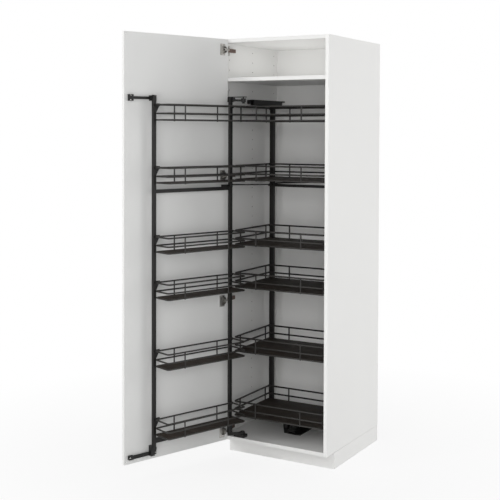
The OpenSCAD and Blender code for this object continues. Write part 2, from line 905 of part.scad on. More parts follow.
module door_basket_4() {
  door_basket(3);
}

module door_basket_5() {
  door_basket(4);
}

module door_basket_6() {
  door_basket(5);
}

module inner_basket_1() {
  inner_basket(0);
}

module inner_basket_2() {
  inner_basket(1);
}

module inner_basket_3() {
  inner_basket(2);
}

module inner_basket_4() {
  inner_basket(3);
}

module inner_basket_5() {
  inner_basket(4);
}

module inner_basket_6() {
  inner_basket(5);
}

// ---- Inner rack ----

module inner_frame_posts() {
  x = inner_post_x - inner_post_w / 2;
  color(dark_c) both_sides()
    square_post(x, inner_post_y + inner_post_d / 2, post_bottom, post_top, inner_post_w,
                inner_post_d, 1.5);
}

module inner_frame_crossbars() {
  x = inner_post_x - inner_post_w;
  color(dark_c) {
    box([-x, beam_y, low_beam_z], [x, beam_y + beam_d, low_beam_z + low_beam_h]);
    box([-x, beam_y, rear_bar_z], [x, beam_y + beam_d, rear_bar_z + rear_bar_h]);
    box([-x, beam_y, top_beam_z], [x, beam_y + beam_d, top_beam_z + top_beam_h]);
  }
}

module inner_frame_brace() {
  x = inner_post_x - inner_post_w;
  z0 = rear_bar_z + rear_bar_h;
  color(dark_c) translate([0, beam_y + 9, 0]) rotate([90, 0, 0]) linear_extrude(6)
    polygon([[-x, z0], [x, z0 + brace_rise], [x, z0 + brace_rise + 8], [-x, z0 + 8]]);
}

module inner_basket_clips() {
  arc = rear_corner_r;
  color(black_c) both_sides() for (up = inner_basket_up)
    translate([inner_basket_w / 2 - arc, inner_post_y, floor_z + up]) mirror([0, 1, 0])
      basket_clip(inner_wire_d / 2, arc);
}

module floor_carriage() {
  half = floor_rail_half + fit_gap;
  rail_top = floor_z + floor_plate_t + floor_rail_h;
  color(black_c) union() {
    box([-half - cheek_w, carriage_y0, rail_top + fit_gap],
        [half + cheek_w, beam_y, low_beam_z + low_beam_h]);
    for (x0 = [-half - cheek_w, half])
      box([x0, carriage_y0, floor_z + floor_plate_t + 1], [x0 + cheek_w, beam_y, low_beam_z]);
  }
}

module floor_guide() {
  rail_z = floor_z + floor_plate_t;
  boss = [-62, 262];
  color(dark_c) union() {
    translate([0, 0, floor_z]) linear_extrude(floor_plate_t)
      polygon([[-71, 247], [-34, 186], [-9, 181], [44, 180], [60, 185], [58, 321], [-87, 317]]);
    box([-floor_rail_half, rail_y0, floor_z],
        [floor_rail_half, rail_y1, rail_z + floor_rail_h]);
    pillar(boss, floor_z, floor_z + 22, 16);
    pillar([-26, 250], floor_z, floor_z + 26, 3);
  }
}

module guide_rails() {
  z0 = floor_z + guide_up;
  inner = glide_r + fit_gap;
  color(dark_c) both_sides() union() {
    difference() {
      box([glide_x - inner - channel_wall, guide_y0, z0],
          [glide_x + inner + channel_wall, guide_y1, z0 + guide_h]);
      box([glide_x - inner, guide_y0 - eps, z0 - eps],
          [glide_x + inner, guide_y1 + eps, z0 + guide_h - channel_wall]);
    }
    box([glide_x - inner - channel_wall, guide_y1 - 6, z0 + guide_h - 6],
        [glide_x + inner + channel_wall, guide_y1 + tail_len, z0 + guide_h]);
  }
}

module guide_brackets() {
  z1 = floor_z + guide_up + guide_h;
  edge = glide_x + glide_r + fit_gap + channel_wall;
  color(dark_c) both_sides() for (y = [guide_y0 + 20, guide_y1 - 40])
    box([edge, y, z1 - 20], [x_in, y + 20, z1]);
}

module guide_heads() {
  glide_top = floor_z + guide_up + guide_h - channel_wall - fit_gap;
  color(black_c) both_sides() union() {
    box([glide_x - 10, 355, head_plate_z], [glide_x + 10, inner_post_y, head_plate_z + head_plate_t]);
    for (y = glide_y) {
      pillar([glide_x, y], head_plate_z, head_plate_z + 10, 3);
      pillar([glide_x, y], head_plate_z + 10, glide_top, glide_r);
    }
  }
}

module rod_bracket() {
  z0 = rod_rear_z - rod_eye_t / 2 - fit_gap - 4;
  color(dark_c) union() {
    box([-inner_post_x, rod_rear.y - 7, z0], [rod_rear.x + 8, inner_post_y, z0 + 4]);
    pillar(rod_rear, z0, rod_rear_z + 5, rod_pin_r);
    pillar(rod_rear, rod_rear_z + rod_eye_t / 2 + fit_gap, rod_rear_z + 6, rod_pin_r + 3);
  }
}

module coupling_rod() {
  half = rod_eye_t / 2;
  dx = rod_front - rod_rear;
  rise = rod_front_z - rod_rear_z;
  tilt = atan2(rise, rod_l);
  ring_r = rod_eye_r + rod_eye_wall;
  color(dark_c) difference() {
    union() {
      pillar(rod_rear, rod_rear_z - half, rod_rear_z + half, 7);
      pillar(rod_front, rod_front_z - half, rod_front_z + half, ring_r);
      translate([rod_rear.x, rod_rear.y, rod_rear_z]) rotate([0, 0, atan2(dx.y, dx.x)])
        rotate([0, 90 - tilt, 0]) cylinder(h = norm([rod_l, rise]) - rod_eye_r - 1, d = rod_d);
    }
    pillar(rod_rear, rod_rear_z - half - eps, rod_rear_z + half + eps, rod_pin_r + run_gap);
    pillar(rod_front, rod_front_z - half - eps, rod_front_z + half + eps, rod_eye_r);
  }
}

side_panel_left();
side_panel_right();
top_panel();
bottom_panel();
fixed_shelf();
back_panel();
plinth_front();
plinth_side();
cabinet_legs();
leg_feet();
plinth_clips();
panel_dowels();
wall_brackets();
hinge_plates();
hinge_plate_screws();
hinge_arms();
hinge_arm_pins();
floor_bearing();
top_bearing();
floor_guide();
guide_rails();
guide_brackets();
hinge_links();
door_panel();
hinge_cups();
hinge_cup_pins();
hinge_cup_screws();
door_rails();
door_rail_ends();
door_rail_screws();
door_buffers();
swing_arms();
door_frame_posts();
door_frame_foot();
door_frame_crossbars();
rail_sliders();
door_basket_clips();
rod_pin_lug();
door_basket_1();
door_basket_2();
door_basket_3();
door_basket_4();
door_basket_5();
door_basket_6();
inner_frame_posts();
inner_frame_crossbars();
inner_frame_brace();
inner_basket_clips();
floor_carriage();
guide_heads();
rod_bracket();
inner_basket_1();
inner_basket_2();
inner_basket_3();
inner_basket_4();
inner_basket_5();
inner_basket_6();
coupling_rod();
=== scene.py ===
"""Dresses the pull-out larder unit: white boards, two wire basket racks, hinges and guides."""

import json
import math

import bmesh
import bpy
from bpy.props import FloatProperty, FloatVectorProperty, IntProperty, PointerProperty
from mathutils import Matrix, Vector

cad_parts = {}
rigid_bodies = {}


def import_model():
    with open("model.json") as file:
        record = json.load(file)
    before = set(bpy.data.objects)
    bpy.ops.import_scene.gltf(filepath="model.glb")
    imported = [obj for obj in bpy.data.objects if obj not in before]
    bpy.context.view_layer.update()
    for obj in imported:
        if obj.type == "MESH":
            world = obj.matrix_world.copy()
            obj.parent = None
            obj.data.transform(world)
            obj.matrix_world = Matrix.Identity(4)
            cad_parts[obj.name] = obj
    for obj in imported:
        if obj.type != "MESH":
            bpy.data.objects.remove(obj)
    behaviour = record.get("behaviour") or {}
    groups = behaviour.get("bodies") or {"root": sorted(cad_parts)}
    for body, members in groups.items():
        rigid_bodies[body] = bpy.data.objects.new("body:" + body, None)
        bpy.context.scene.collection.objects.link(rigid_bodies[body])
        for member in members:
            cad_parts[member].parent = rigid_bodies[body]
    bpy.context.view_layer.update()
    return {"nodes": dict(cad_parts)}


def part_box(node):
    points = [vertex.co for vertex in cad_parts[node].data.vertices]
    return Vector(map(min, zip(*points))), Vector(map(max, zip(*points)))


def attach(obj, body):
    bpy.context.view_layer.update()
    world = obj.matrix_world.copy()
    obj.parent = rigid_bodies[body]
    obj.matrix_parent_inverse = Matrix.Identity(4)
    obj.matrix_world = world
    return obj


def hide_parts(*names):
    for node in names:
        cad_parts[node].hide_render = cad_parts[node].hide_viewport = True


bl_info = {
    "name": "Pull-out larder unit",
    "version": (1, 0, 0),
    "blender": (4, 5, 0),
    "location": "View3D > Sidebar > Larder",
    "description": "Looks of the pull-out larder unit, piece by piece",
    "category": "Object",
}

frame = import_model()
NODES = frame["nodes"]
SHELVES = range(1, 7)


# ---- Sizes and colours that a user may change ----


class LarderSizes(bpy.types.PropertyGroup):
    inner_wire: FloatProperty(
        name="Inner basket wire", description="Diameter of the inner basket wires",
        default=0.0085, min=0.005, max=0.009, unit="LENGTH")
    door_wire: FloatProperty(
        name="Door basket wire", description="Diameter of the door basket wires",
        default=0.0075, min=0.005, max=0.008, unit="LENGTH")
    upright_step: FloatProperty(
        name="Upright step", description="How much thinner the uprights are than the rails",
        default=0.001, min=0.0, max=0.002, unit="LENGTH")
    middle_drop: FloatProperty(
        name="Middle rail drop", description="Height of the middle rail below the rim",
        default=0.040, min=0.02, max=0.06, unit="LENGTH")
    tray_drop: FloatProperty(
        name="Tray drop", description="Height of the bottom rail's centre below the rim",
        default=0.070, min=0.06, max=0.08, unit="LENGTH")
    front_bend: FloatProperty(
        name="Front bend", description="Radius of the rim's two outer corners",
        default=0.012, min=0.009, max=0.018, unit="LENGTH")
    post_bend: FloatProperty(
        name="Post bend", description="Radius of the rim's two corners beside the posts",
        default=0.008, min=0.006, max=0.012, unit="LENGTH")
    door_turn: FloatProperty(
        name="Door angle", description="Opening angle of the door",
        default=math.radians(110.07), subtype="ANGLE", unit="ROTATION")
    door_edge: FloatVectorProperty(
        name="Door edge", description="Hinge edge of the door's inner face",
        default=(-0.2557996, -0.0034993, 0.0), size=3, subtype="XYZ", unit="LENGTH")
    edge_band: FloatProperty(
        name="Edge band", description="Thickness of the edging strip on the boards",
        default=0.001, min=0.0004, max=0.002, unit="LENGTH")
    head_sides: IntProperty(
        name="Screw head sides", description="Sides of the turned screw heads",
        default=24, min=12, max=48)


def colour(name, words, value):
    return FloatVectorProperty(
        name=name, description=words, default=value, size=3, subtype="COLOR", min=0, max=1)


class LarderColours(bpy.types.PropertyGroup):
    board: colour("Board", "Satin white of the cabinet boards", (0.845, 0.843, 0.83))
    door: colour("Door", "Satin white of the door", (0.73, 0.732, 0.722))
    edging: colour("Edging", "White of the edging strips", (0.90, 0.90, 0.885))
    anthracite: colour("Anthracite", "Powder coat of the racks", (0.011, 0.0105, 0.010))
    wire: colour("Wire", "Metallic anthracite of the wires", (0.020, 0.0185, 0.0165))
    tray: colour("Tray", "Grained board of the trays", (0.030, 0.0225, 0.0175))
    nickel: colour("Nickel", "Satin plate of the hinges", (0.43, 0.42, 0.40))
    hinge_arm: colour("Hinge arm", "Browned plate of the hinge arms", (0.19, 0.135, 0.118))
    black: colour("Black plastic", "Moulded feet, blocks and clips", (0.012, 0.012, 0.012))
    grey: colour("Buffer", "Soft clear grey of the door buffers", (0.66, 0.66, 0.65))
    beech: colour("Beech", "Wood of the dowels", (0.52, 0.33, 0.17))
    ground: colour("Floor", "Pale floor of the studio", (0.80, 0.80, 0.80))


# ---- Materials ----


class Recipe:
    """A node material in the making."""

    def __init__(self, name):
        self.mat = bpy.data.materials.new(name)
        self.mat.use_nodes = True
        self.tree = self.mat.node_tree
        self.shader = next(n for n in self.tree.nodes if n.type == "BSDF_PRINCIPLED")
        self.place = self.add("ShaderNodeTexCoord").outputs["Object"]

    def add(self, kind, **settings):
        node = self.tree.nodes.new(kind)
        for key, value in settings.items():
            setattr(node, key, value)
        return node

    def join(self, source, target):
        self.tree.links.new(source, target)

    def fill(self, target, value):
        if hasattr(value, "is_linked"):
            self.join(value, target)
        else:
            target.default_value = value

    def sum(self, kind, a, b=0.0):
        node = self.add("ShaderNodeMath", operation=kind)
        self.fill(node.inputs[0], a)
        self.fill(node.inputs[1], b)
        return node.outputs[0]

    def noise(self, scale, detail=2.0, stretch=(1, 1, 1), rough=0.5):
        mapping = self.add("ShaderNodeMapping")
        mapping.inputs["Scale"].default_value = stretch
        self.join(self.place, mapping.inputs["Vector"])
        node = self.add("ShaderNodeTexNoise")
        node.inputs["Scale"].default_value = scale
        node.inputs["Detail"].default_value = detail
        node.inputs["Roughness"].default_value = rough
        self.join(mapping.outputs["Vector"], node.inputs["Vector"])
        return node.outputs["Fac"]

    def ramp(self, value, low, high, to_low=0.0, to_high=1.0):
        node = self.add("ShaderNodeMapRange")
        self.fill(node.inputs["Value"], value)
        for key, number in zip(("From Min", "From Max", "To Min", "To Max"),
                               (low, high, to_low, to_high)):
            node.inputs[key].default_value = number
        return node.outputs["Result"]

    def mix(self, share, a, b):
        node = self.add("ShaderNodeMix", data_type="RGBA")
        self.fill(node.inputs[0], share)
        for socket, value in ((node.inputs[6], a), (node.inputs[7], b)):
            self.fill(socket, value if hasattr(value, "is_linked") else (*value, 1.0))
        return node.outputs[2]

    def paint(self, value):
        self.fill(self.shader.inputs["Base Color"],
                  value if hasattr(value, "is_linked") else (*value, 1.0))

    def rough(self, value):
        self.fill(self.shader.inputs["Roughness"], value)

    def relief(self, height, strength, distance, under=None):
        node = self.add("ShaderNodeBump")
        node.inputs["Strength"].default_value = strength
        node.inputs["Distance"].default_value = distance
        self.join(height, node.inputs["Height"])
        if under is not None:
            self.join(under, node.inputs["Normal"])
        self.join(node.outputs["Normal"], self.shader.inputs["Normal"])

    def soft_edge(self, radius):
        """Rounded normal at an edge, and how near the edge a point is, 0 to 1."""
        bevel = self.add("ShaderNodeBevel", samples=4)
        bevel.inputs["Radius"].default_value = radius
        plain = self.add("ShaderNodeNewGeometry").outputs["Normal"]
        dot = self.add("ShaderNodeVectorMath", operation="DOT_PRODUCT")
        self.join(bevel.outputs["Normal"], dot.inputs[0])
        self.join(plain, dot.inputs[1])
        return bevel.outputs["Normal"], self.ramp(dot.outputs["Value"], 0.995, 0.80)


def tint(value, factor):
    return tuple(min(1.0, c * factor) for c in value)


# Chipboard inside the holes, painted far darker than bare chipboard as painted shade in the holes.
HOLE_SHADE_CHIP_DARK = (0.055, 0.036, 0.021)
HOLE_SHADE_CHIP_LIGHT = (0.12, 0.084, 0.052)
FACE_SKIN = 0.0004
EDGE_SKIN = 0.0015


def edge_bands(r, axes, spans, width):
    """1 on an edging strip, and 1 on the strip with its glue line, or None for both."""
    band = glue = None
    for key, places in spans:
        for edge in places:
            off = r.sum("ABSOLUTE", r.sum("SUBTRACT", axes.outputs[key], edge))
            near = r.ramp(off, width * 0.95, width * 1.05, 1.0, 0.0)
            line = r.ramp(off, width * 1.05, width * 1.3, 1.0, 0.0)
            band = near if band is None else r.sum("MAXIMUM", band, near)
            glue = line if glue is None else r.sum("MAXIMUM", glue, line)
    return band, glue


def inside_box(r, axes, core):
    """1 inside the board, deeper than its melamine skin."""
    inside = None
    for key, (start, end) in core.items():
        skin = FACE_SKIN if key == "X" else EDGE_SKIN
        middle, half = (start + end) / 2, (end - start) / 2
        off = r.sum("ABSOLUTE", r.sum("SUBTRACT", axes.outputs[key], middle))
        within = r.sum("LESS_THAN", off, half - skin)
        inside = within if inside is None else r.sum("MULTIPLY", inside, within)
    return inside


def board_paint(name, base, edging, sizes, local=None, spans=(), core=None):
    """Satin melamine with a fine pearl grain. spans holds an axis and the places of the edged sides
    along it, in the space that local maps to. core is the board's box; what a hole lays bare inside
    it shows chipboard, painted much darker as the shade inside the hole."""
    r = Recipe(name)
    cloud = r.noise(1.7, 3.0)
    pearl = r.noise(520.0, 2.0)
    body = r.mix(r.ramp(cloud, 0.3, 0.7), tint(base, 0.985), tint(base, 1.012))
    body = r.mix(r.ramp(pearl, 0.35, 0.65, 0.0, 0.35), body, tint(base, 0.97))
    place = r.place
    if local is not None:
        mapping = r.add("ShaderNodeMapping", vector_type="TEXTURE")
        mapping.inputs["Location"].default_value = local[0]
        mapping.inputs["Rotation"].default_value = (0, 0, local[1])
        r.join(place, mapping.inputs["Vector"])
        place = mapping.outputs["Vector"]
    axes = r.add("ShaderNodeSeparateXYZ")
    r.join(place, axes.inputs[0])
    band, glue = edge_bands(r, axes, spans, sizes.edge_band)
    if band is not None:
        body = r.mix(glue, body, tint(base, 0.80))
        body = r.mix(band, body, edging)
    rounded, near_edge = r.soft_edge(0.0007)
    body = r.mix(r.sum("MULTIPLY", near_edge, 0.35), body, edging)
    if core is not None:
        # Inside the holes: chipboard flecks, painted dark as the shade in the hole.
        hole_shade_chips = r.ramp(r.noise(600.0, 3.0), 0.3, 0.7)
        body = r.mix(inside_box(r, axes, core), body, r.mix(hole_shade_chips, HOLE_SHADE_CHIP_DARK, HOLE_SHADE_CHIP_LIGHT))
    r.paint(body)
    r.rough(r.ramp(r.sum("ADD", cloud, r.sum("MULTIPLY", pearl, 0.4)), 0.4, 1.0, 0.36, 0.50))
    r.shader.inputs["Specular IOR Level"].default_value = 0.4
    r.relief(pearl, 0.10, 0.00012, rounded)
    return r.mat


def powder_coat(name, base):
    """Fine orange-peel powder coat, a little lighter where it is rubbed."""
    r = Recipe(name)
    peel = r.noise(900.0, 2.0)
    cloud = r.noise(14.0, 3.0)
    rounded, near_edge = r.soft_edge(0.0006)
    body = r.mix(r.ramp(peel, 0.3, 0.7), tint(base, 0.7), tint(base, 1.5))
    body = r.mix(r.sum("MULTIPLY", near_edge, r.ramp(cloud, 0.45, 0.7, 0.0, 0.5)), body,
                 tint(base, 3.2))
    r.paint(body)
    r.rough(r.ramp(r.sum("ADD", r.sum("MULTIPLY", peel, 0.5), cloud), 0.4, 1.1, 0.30, 0.46))
    r.shader.inputs["Specular IOR Level"].default_value = 0.24
    r.relief(peel, 0.28, 0.00018, rounded)
    return r.mat


def wire_coat(name, base):
    """Metallic lacquer that mirrors a little, cloudier where the wire was dipped thicker."""
    r = Recipe(name)
    flake = r.noise(1400.0, 2.0)
    cloud = r.noise(30.0, 3.0)
    body = r.mix(r.ramp(flake, 0.3, 0.7), tint(base, 0.75), tint(base, 1.3))
    body = r.mix(r.ramp(cloud, 0.45, 0.75, 0.0, 0.4), body, tint(base, 0.6))
    r.paint(body)
    r.shader.inputs["Specular IOR Level"].default_value = 0.42
    r.rough(r.ramp(r.sum("ADD", r.sum("MULTIPLY", flake, 0.4), cloud), 0.4, 1.0, 0.34, 0.50))
    r.relief(flake, 0.15, 0.0001)
    return r.mat


def tray_board(name, base):
    """Dark board with brown grain streaks along X under a pressed linen grain."""
    r = Recipe(name)
    along = r.noise(240.0, 2.0, (1.0, 9.0, 1.0))
    across = r.noise(240.0, 2.0, (9.0, 1.0, 1.0))
    weave = r.sum("ADD", along, across)
    streak = r.noise(60.0, 5.0, (0.10, 1.6, 1.6), 0.6)
    patch = r.noise(7.0, 4.0)
    body = r.mix(r.ramp(streak, 0.38, 0.62), tint(base, 0.45), tint(base, 1.45))
    body = r.mix(r.ramp(weave, 0.9, 1.2, 0.0, 0.3), body, tint(base, 0.7))
    body = r.mix(r.ramp(patch, 0.45, 0.75, 0.0, 0.25), body, tint(base, 1.8))
    r.paint(body)
    r.rough(r.ramp(r.sum("ADD", weave, patch), 1.1, 1.9, 0.50, 0.68))
    r.shader.inputs["Specular IOR Level"].default_value = 0.16
    rounded, _ = r.soft_edge(0.0008)
    r.relief(weave, 0.25, 0.0002, rounded)
    return r.mat


def satin_metal(name, base, brush=(1, 1, 14), rough=(0.24, 0.40)):
    """Plated metal with brush lines, faint smudges and bright worn edges."""
    r = Recipe(name)
    lines = r.noise(700.0, 3.0, brush)
    smudge = r.noise(55.0, 4.0)
    rounded, near_edge = r.soft_edge(0.0004)
    body = r.mix(r.ramp(lines, 0.3, 0.7), tint(base, 0.86), tint(base, 1.1))
    body = r.mix(r.ramp(smudge, 0.5, 0.8, 0.0, 0.3), body, tint(base, 0.75))
    body = r.mix(r.sum("MULTIPLY", near_edge, 0.5), body, tint(base, 1.35))
    r.paint(body)
    r.shader.inputs["Metallic"].default_value = 1.0
    r.rough(r.ramp(r.sum("ADD", lines, r.sum("MULTIPLY", smudge, 0.6)), 0.5, 1.1, *rough))
    r.relief(lines, 0.12, 0.00008, rounded)
    return r.mat


def moulded(name, base, rough=(0.42, 0.58), grain=650.0):
    """Moulded plastic with a fine spark-eroded grain and lighter handled edges."""
    r = Recipe(name)
    pits = r.noise(grain, 3.0)
    cloud = r.noise(22.0, 3.0)
    rounded, near_edge = r.soft_edge(0.0006)
    body = r.mix(r.ramp(pits, 0.35, 0.65), tint(base, 0.75), tint(base, 1.4))
    body = r.mix(r.sum("MULTIPLY", near_edge, 0.5), body, tint(base, 2.0))
    r.paint(body)
    r.rough(r.ramp(r.sum("ADD", pits, cloud), 0.7, 1.3, *rough))
    r.shader.inputs["Specular IOR Level"].default_value = 0.3
    r.relief(pits, 0.22, 0.00015, rounded)
    return r.mat


def turned_beech(name, base):
    """Beech with long pores and rings along the dowel."""
    r = Recipe(name)
    rings = r.noise(60.0, 3.0, (0.15, 1, 1))
    pores = r.noise(900.0, 2.0, (0.06, 1, 1))
    body = r.mix(r.ramp(rings, 0.35, 0.65), tint(base, 0.85), tint(base, 1.12))
    body = r.mix(r.ramp(pores, 0.6, 0.72, 0.0, 0.6), body, tint(base, 0.55))
    r.paint(body)
    r.rough(r.ramp(pores, 0.3, 0.7, 0.50, 0.68))
    r.relief(pores, 0.3, 0.0001)
    return r.mat


PAINTS = {}


def paint(name):
    return PAINTS[name]


def dress(nodes, name):
    for node in nodes:
        NODES[node].data.materials.clear()
        NODES[node].data.materials.append(PAINTS[name])


# ---- Mesh helpers ----

LEVEL = 1e-7
MERGE = 1e-6


def mesh_piece(name, verts, faces, edges=()):
    mesh = bpy.data.meshes.new(name)
    mesh.from_pydata([tuple(v) for v in verts], list(edges), list(faces))
    mesh.update()
    obj = bpy.data.objects.new(name, mesh)
    bpy.context.scene.collection.objects.link(obj)
    return obj


def finish_piece(obj, body, material=None, node=None, smooth=35.0):
    if material is not None:
        obj.data.materials.clear()
        obj.data.materials.append(material)
    obj.data.shade_smooth()
    sharpen(obj.data, math.radians(smooth))
    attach(obj, body)
    if node is not None:
        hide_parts(node)


def sharpen(mesh, angle):
    work = bmesh.new()
    work.from_mesh(mesh)
    for edge in work.edges:
        if len(edge.link_faces) == 2:
            edge.smooth = edge.calc_face_angle(0.0) < angle
    work.to_mesh(mesh)
    work.free()


def rounded_outline(width, depth, front, rear, steps=7):
    """Points of the rim's outline, front side along X at y = 0, running anticlockwise."""
    points = []
    corners = ((width - front, front, front, 270), (width - rear, depth - rear, rear, 0),
               (rear, depth - rear, rear, 90), (front, front, front, 180))
    for cx, cy, radius, start in corners:
        for k in range(steps + 1):
            a = math.radians(start + 90 * k / steps)
            points.append((cx + radius * math.cos(a), cy + radius * math.sin(a)))
    return points


def prism(name, outline, low, high, bevel, place):
    """Plate with a softened rim; outline is in the plate's own X and Y, place maps it."""
    work = bmesh.new()
    base = [work.verts.new((x, y, low)) for x, y in outline]
    face = work.faces.new(base)
    out = bmesh.ops.extrude_face_region(work, geom=[face])
    bmesh.ops.translate(work, vec=(0, 0, high - low),
                        verts=[v for v in out["geom"] if isinstance(v, bmesh.types.BMVert)])
    rim = [e for e in work.edges if abs(e.verts[0].co.z - e.verts[1].co.z) < LEVEL]
    bmesh.ops.bevel(work, geom=rim, offset=bevel, segments=2, affect="EDGES", profile=0.5)
    bmesh.ops.transform(work, matrix=place, verts=work.verts)
    bmesh.ops.recalc_face_normals(work, faces=work.faces)
    mesh = bpy.data.meshes.new(name)
    work.to_mesh(mesh)
    work.free()
    obj = bpy.data.objects.new(name, mesh)
    bpy.context.scene.collection.objects.link(obj)
    return obj


# ---- Geometry Nodes ----


class Graph:
    """A geometry node tree in the making."""

    def __init__(self, name, inputs):
        self.tree = bpy.data.node_groups.new(name, "GeometryNodeTree")
        face = self.tree.interface
        face.new_socket("Geometry", in_out="INPUT", socket_type="NodeSocketGeometry")
        self.ids = {}
        for label, kind, default in inputs:
            item = face.new_socket(label, in_out="INPUT", socket_type=kind)
            if default is not None:
                item.default_value = default
            self.ids[label] = item.identifier
        face.new_socket("Geometry", in_out="OUTPUT", socket_type="NodeSocketGeometry")
        self.entry = self.tree.nodes.new("NodeGroupInput")
        self.exit = self.tree.nodes.new("NodeGroupOutput")

    def value(self, label):
        return self.entry.outputs[label]

    def add(self, kind, sockets=None, **settings):
        node = self.tree.nodes.new(kind)
        for key, value in settings.items():
            setattr(node, key, value)
        for key, value in (sockets or {}).items():
            if hasattr(value, "is_linked"):
                self.tree.links.new(value, node.inputs[key])
            else:
                node.inputs[key].default_value = value
        return node

    def math(self, kind, a, b=0.0):
        return self.add("ShaderNodeMath", {0: a, 1: b}, operation=kind).outputs[0]

    def lowered(self, geometry, drop):
        down = self.math("MULTIPLY", drop, -1.0)
        move = self.add("ShaderNodeCombineXYZ", {"Z": down}).outputs[0]
        return self.add("GeometryNodeTransform",
                        {"Geometry": geometry, "Translation": move}).outputs[0]

    def joined(self, *parts):
        node = self.tree.nodes.new("GeometryNodeJoinGeometry")
        for part in reversed(parts):
            self.tree.links.new(part, node.inputs[0])
        return node.outputs[0]

    def close(self, geometry, finish):
        real = self.add("GeometryNodeRealizeInstances", {"Geometry": geometry}).outputs[0]
        done = self.add("GeometryNodeSetMaterial", {"Geometry": real, "Material": finish})
        self.tree.links.new(done.outputs[0], self.exit.inputs[0])


def wire_basket_graph():
    """Three rim wires around a path, with welded uprights at the marked points."""
    g = Graph("Wire basket", (
        ("Wire diameter", "NodeSocketFloat", 0.0085),
        ("Upright diameter", "NodeSocketFloat", 0.0075),
        ("Upright end", "NodeSocketFloat", 0.0055),
        ("Middle rail drop", "NodeSocketFloat", 0.040),
        ("Bottom rail drop", "NodeSocketFloat", 0.070),
        ("Weld size", "NodeSocketFloat", 0.0052),
        ("Finish", "NodeSocketMaterial", None)))
    source = g.entry.outputs["Geometry"]
    rim = g.add("GeometryNodeMeshToCurve", {0: source}).outputs[0]
    rims = g.joined(rim, g.lowered(rim, g.value("Middle rail drop")),
                    g.lowered(rim, g.value("Bottom rail drop")))
    radius = g.math("MULTIPLY", g.value("Wire diameter"), 0.5)
    profile = g.add("GeometryNodeCurvePrimitiveCircle", {"Resolution": 14, "Radius": radius})
    wires = g.add("GeometryNodeCurveToMesh",
                  {"Curve": rims, "Profile Curve": profile.outputs[0]}).outputs[0]
    marked = g.add("GeometryNodeInputNamedAttribute", {"Name": "upright"}, data_type="FLOAT")
    feet = g.add("GeometryNodeMeshToPoints",
                 {"Mesh": source, "Selection": g.math("GREATER_THAN", marked.outputs[0], 0.5)})
    drop = g.value("Bottom rail drop")
    length = g.math("ADD", drop, g.value("Upright end"))
    bar = g.add("GeometryNodeMeshCylinder", {
        "Vertices": 12, "Radius": g.math("MULTIPLY", g.value("Upright diameter"), 0.5),
        "Depth": length}).outputs[0]
    bar = g.lowered(bar, g.math("MULTIPLY", length, 0.5))
    bead = g.add("GeometryNodeMeshIcoSphere",
                 {"Radius": g.value("Weld size"), "Subdivisions": 2}).outputs[0]
    bead = g.add("GeometryNodeTransform", {"Geometry": bead, "Scale": (1.0, 1.0, 0.72)}).outputs[0]
    welds = g.joined(bead, g.lowered(bead, g.value("Middle rail drop")), g.lowered(bead, drop))
    stick = g.joined(bar, welds)
    posts = g.add("GeometryNodeInstanceOnPoints",
                  {"Points": feet.outputs[0], "Instance": stick}).outputs[0]
    g.close(g.joined(wires, posts), g.value("Finish"))
    return g


def screw_graph():
    """Pan-head screws with a cross recess, one at each point, turned to face its normal."""
    g = Graph("Pan head screws", (
        ("Head radius", "NodeSocketFloat", 0.0039),
        ("Head height", "NodeSocketFloat", 0.0018),
        ("Recess width", "NodeSocketFloat", 0.0009),
        ("Sides", "NodeSocketInt", 24),
        ("Seed", "NodeSocketInt", 7),
        ("Finish", "NodeSocketMaterial", None)))
    source = g.entry.outputs["Geometry"]
    radius, height = g.value("Head radius"), g.value("Head height")
    dome = g.add("GeometryNodeMeshUVSphere",
                 {"Segments": g.value("Sides"), "Rings": 12, "Radius": radius}).outputs[0]
    squeeze = g.add("ShaderNodeCombineXYZ", {
        "X": 1.0, "Y": 1.0, "Z": g.math("DIVIDE", height, radius)}).outputs[0]
    dome = g.add("GeometryNodeTransform", {"Geometry": dome, "Scale": squeeze}).outputs[0]
    slot_size = g.add("ShaderNodeCombineXYZ", {
        "X": g.math("MULTIPLY", radius, 1.25), "Y": g.value("Recess width"), "Z": height}).outputs[0]
    bar = g.add("GeometryNodeMeshCube", {"Size": slot_size}).outputs[0]
    bar = g.lowered(bar, g.math("MULTIPLY", height, -1.0))
    cross_bar = g.add("GeometryNodeTransform",
                      {"Geometry": bar, "Rotation": (0.0, 0.0, math.radians(90))}).outputs[0]
    cut = g.add("GeometryNodeMeshBoolean", {"Mesh 1": dome}, operation="DIFFERENCE")
    for part in (bar, cross_bar):
        g.tree.links.new(part, cut.inputs["Mesh 2"])
    spots = g.add("GeometryNodeMeshToPoints", {"Mesh": source}).outputs[0]
    facing = g.add("GeometryNodeInputNamedAttribute", {"Name": "facing"},
                   data_type="FLOAT_VECTOR").outputs[0]
    turn = g.add("FunctionNodeAlignRotationToVector", {"Vector": facing}, axis="Z").outputs[0]
    chance = g.add("FunctionNodeRandomValue", {"Seed": g.value("Seed")}, data_type="FLOAT")
    chance.inputs[3].default_value = math.pi
    twist = g.add("ShaderNodeCombineXYZ", {"Z": chance.outputs[1]}).outputs[0]
    twist = g.add("FunctionNodeEulerToRotation", {0: twist}).outputs[0]
    turn = g.add("FunctionNodeRotateRotation", {"Rotation": turn, "Rotate By": twist},
                 rotation_space="LOCAL").outputs[0]
    heads = g.add("GeometryNodeInstanceOnPoints", {
        "Points": spots, "Instance": cut.outputs["Mesh"], "Rotation": turn}).outputs[0]
    g.close(heads, g.value("Finish"))
    return g


